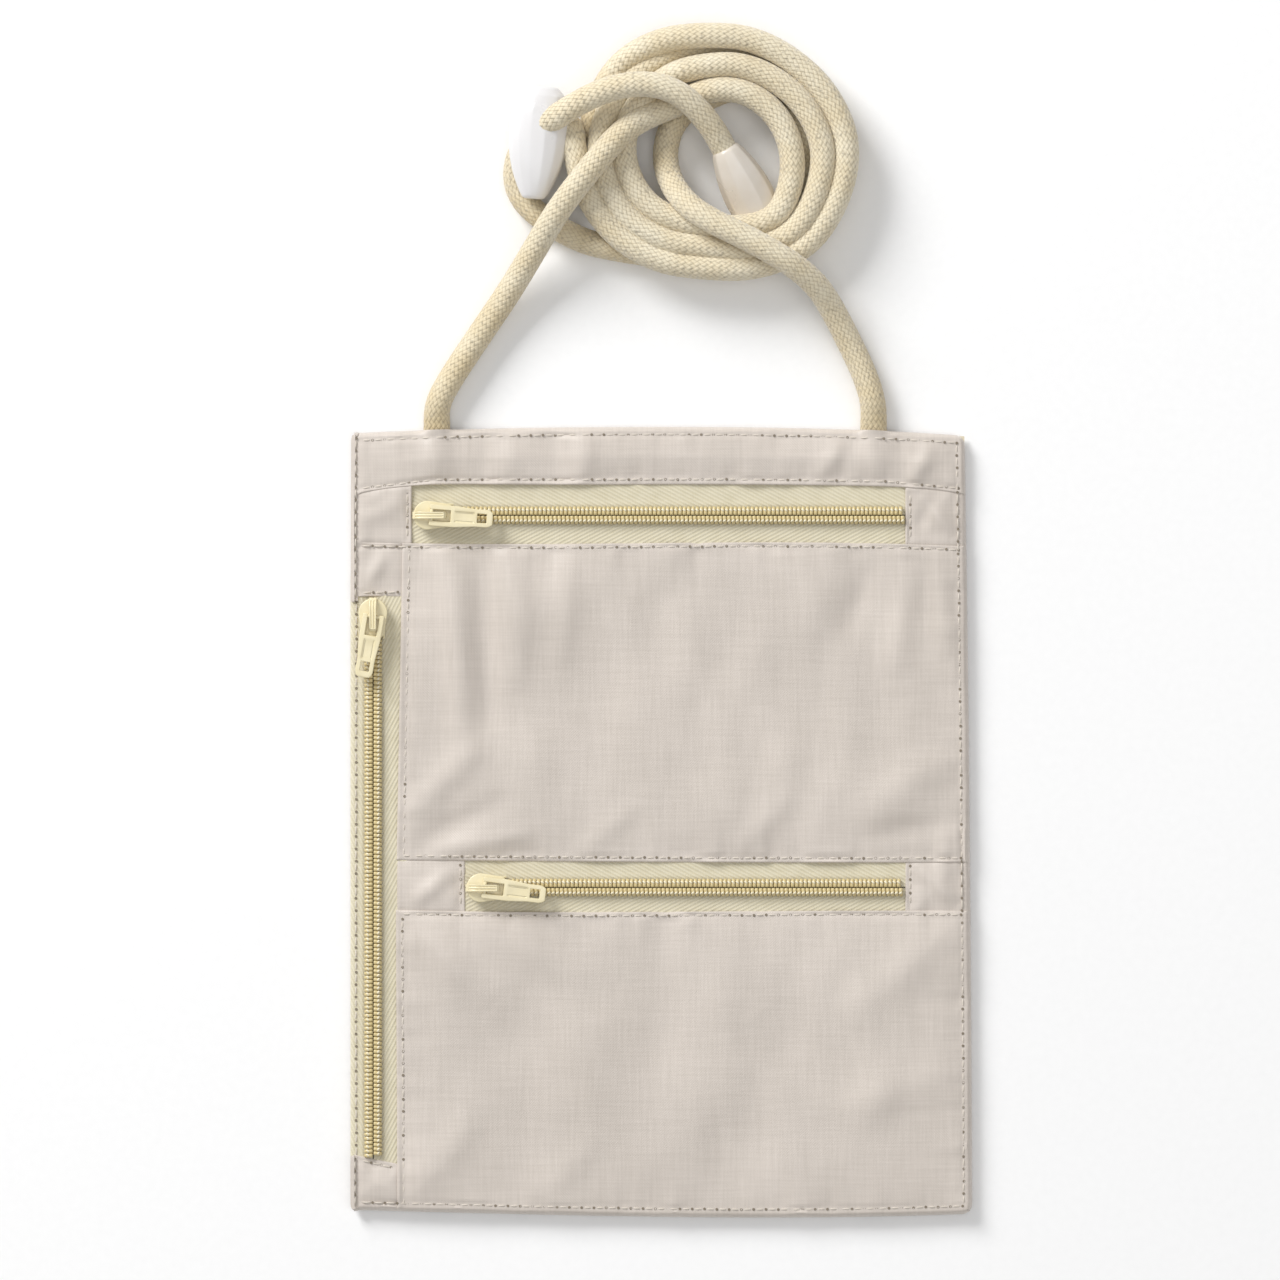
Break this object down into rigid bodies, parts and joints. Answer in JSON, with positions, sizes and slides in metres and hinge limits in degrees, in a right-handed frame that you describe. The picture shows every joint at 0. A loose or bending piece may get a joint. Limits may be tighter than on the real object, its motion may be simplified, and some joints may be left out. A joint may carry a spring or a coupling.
{
  "type": "neck pouch wallet",
  "caption": "Flat fabric neck pouch with zipped front and side pockets, hung from a braided cord with sliding cord adjusters.",
  "frame": {"origin": "under the middle of the pouch, on the surface that its back lies on", "axes": "+X to the pouch's right, +Y up the pouch towards the neck cord, +Z out of its front"},
  "size_m": [0.15, 0.2894, 0.0191],
  "materials": {
    "pouch_fabric": "fine plain weave, pale beige with a slight satin sheen",
    "lining_fabric": "thin plain weave lining",
    "zip_tape": "cream herringbone twill tape",
    "zip_coil": "cream nylon coil, slight sheen",
    "slider_enamel": "cream stoving enamel, satin gloss",
    "neck_cord": "tubular cotton braid, matt",
    "adjuster_plastic": "milky translucent moulded plastic",
    "sewing_thread": "polyester sewing thread"
  },
  "bodies": {
    "pouch": {"back_panel": "pouch_fabric", "divider_lining": "lining_fabric", "hem_top": "pouch_fabric", "hem_bottom": "pouch_fabric", "hem_left": "pouch_fabric", "hem_right": "pouch_fabric", "top_band": "pouch_fabric", "middle_panel": "pouch_fabric", "lower_panel": "pouch_fabric", "top_zip_left_tab": "pouch_fabric", "top_zip_right_tab": "pouch_fabric", "lower_zip_left_tab": "pouch_fabric", "lower_zip_right_tab": "pouch_fabric", "side_zip_top_tab": "pouch_fabric", "side_zip_bottom_tab": "pouch_fabric", "cord_left_sewn_end": "neck_cord", "cord_right_sewn_end": "neck_cord", "cord_left_leg": "neck_cord", "cord_right_leg": "neck_cord", "cord_over_strand": "neck_cord", "cord_tail": "neck_cord", "cord_coil": "neck_cord", "adjuster_left": "adjuster_plastic", "adjuster_right": "adjuster_plastic", "top_zip_tape_a": "zip_tape", "top_zip_tape_b": "zip_tape", "top_zip_coil_a": "zip_coil", "top_zip_coil_b": "zip_coil", "lower_zip_tape_a": "zip_tape", "lower_zip_tape_b": "zip_tape", "lower_zip_coil_a": "zip_coil", "lower_zip_coil_b": "zip_coil", "side_zip_tape_a": "zip_tape", "side_zip_tape_b": "zip_tape", "side_zip_coil_a": "zip_coil", "side_zip_coil_b": "zip_coil"},
    "top_zip_slider": {"top_zip_slider": "slider_enamel"},
    "top_zip_pull": {"top_zip_pull": "slider_enamel"},
    "lower_zip_slider": {"lower_zip_slider": "slider_enamel"},
    "lower_zip_pull": {"lower_zip_pull": "slider_enamel"},
    "side_zip_slider": {"side_zip_slider": "slider_enamel"},
    "side_zip_pull": {"side_zip_pull": "slider_enamel"}
  },
  "joints": [
    {"name": "top_zip_slide", "type": "slide", "parent": "pouch", "child": "top_zip_slider", "axis": [1, 0, 0], "range_m": [0, 0.108]},
    {"name": "top_pull_hinge", "type": "hinge", "parent": "top_zip_slider", "child": "top_zip_pull", "pos_m": [-0.0552, 0.07405, 0.00642], "axis": [-0.0698, -0.9976, 0], "range_deg": [0, 150]},
    {"name": "lower_zip_slide", "type": "slide", "parent": "pouch", "child": "lower_zip_slider", "axis": [1, 0, 0], "range_m": [0, 0.0952]},
    {"name": "lower_pull_hinge", "type": "hinge", "parent": "lower_zip_slider", "child": "lower_zip_pull", "pos_m": [-0.0424, -0.0155, 0.00642], "axis": [-0.1219, -0.9925, 0], "range_deg": [0, 150]},
    {"name": "side_zip_slide", "type": "slide", "parent": "pouch", "child": "side_zip_slider", "axis": [0, -1, 0], "range_m": [0, 0.1248]},
    {"name": "side_pull_hinge", "type": "hinge", "parent": "side_zip_slider", "child": "side_zip_pull", "pos_m": [-0.0691, 0.0496, 0.00642], "axis": [-0.9848, 0.1736, 0], "range_deg": [0, 140]}
  ]
}
